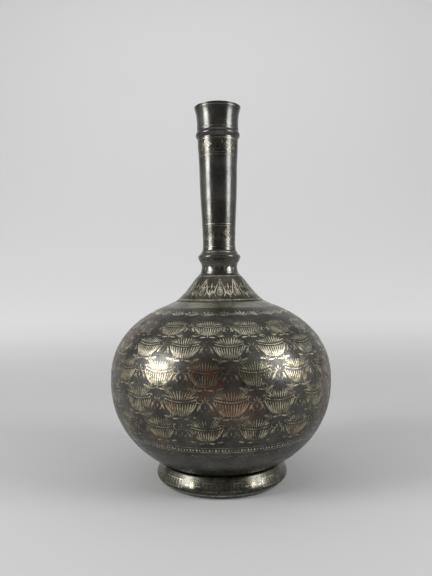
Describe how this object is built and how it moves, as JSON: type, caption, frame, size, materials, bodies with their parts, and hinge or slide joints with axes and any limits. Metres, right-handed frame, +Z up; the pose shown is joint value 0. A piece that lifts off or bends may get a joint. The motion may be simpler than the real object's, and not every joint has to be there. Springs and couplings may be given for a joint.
{
  "type": "vase",
  "caption": "Free-standing blackened-metal vase: globe on a flared foot, long tapering neck with a ring knop and a flared mouth, silver inlay let in flush.",
  "frame": {"origin": "centre of the foot's standing face", "axes": "+Z up along the vase's axis; the front looks along -Y"},
  "size_m": [0.1702, 0.1702, 0.29],
  "materials": {
    "foot_ring": "blackened cast zinc alloy, semi-gloss, worn",
    "lower_bowl": "blackened cast zinc alloy, semi-gloss, worn",
    "upper_bowl": "blackened cast zinc alloy, semi-gloss, worn",
    "shoulder_collar": "blackened cast zinc alloy, semi-gloss, worn",
    "neck_knop": "blackened cast zinc alloy, semi-gloss, worn",
    "neck_tube": "blackened cast zinc alloy, semi-gloss, worn",
    "mouth_ring": "blackened cast zinc alloy, semi-gloss, worn",
    "mouth_flare": "blackened cast zinc alloy, semi-gloss, worn",
    "foot_rim_wire": "tarnished silver, hand polished",
    "foot_band": "tarnished silver, hand polished",
    "lower_border": "tarnished silver, hand polished",
    "shoulder_band": "tarnished silver, hand polished",
    "collar_bead_wire": "tarnished silver, hand polished",
    "collar_leaves": "tarnished silver, hand polished",
    "collar_top_wire": "tarnished silver, hand polished",
    "knop_wire": "tarnished silver, hand polished",
    "neck_low_wire": "tarnished silver, hand polished",
    "neck_low_top_wire": "tarnished silver, hand polished",
    "neck_high_wire": "tarnished silver, hand polished",
    "neck_high_top_wire": "tarnished silver, hand polished",
    "mouth_wire": "tarnished silver, hand polished",
    "lip_wire": "tarnished silver, hand polished"
  },
  "bodies": {
    "root": {"foot_ring": "foot_ring", "lower_bowl": "lower_bowl", "upper_bowl": "upper_bowl", "shoulder_collar": "shoulder_collar", "neck_knop": "neck_knop", "neck_tube": "neck_tube", "mouth_ring": "mouth_ring", "mouth_flare": "mouth_flare", "foot_rim_wire": "foot_rim_wire", "foot_band": "foot_band", "lower_border": "lower_border", "shoulder_band": "shoulder_band", "collar_bead_wire": "collar_bead_wire", "collar_leaves": "collar_leaves", "collar_top_wire": "collar_top_wire", "knop_wire": "knop_wire", "neck_low_wire": "neck_low_wire", "neck_low_top_wire": "neck_low_top_wire", "neck_high_wire": "neck_high_wire", "neck_high_top_wire": "neck_high_top_wire", "mouth_wire": "mouth_wire", "lip_wire": "lip_wire"}
  },
  "joints": []
}
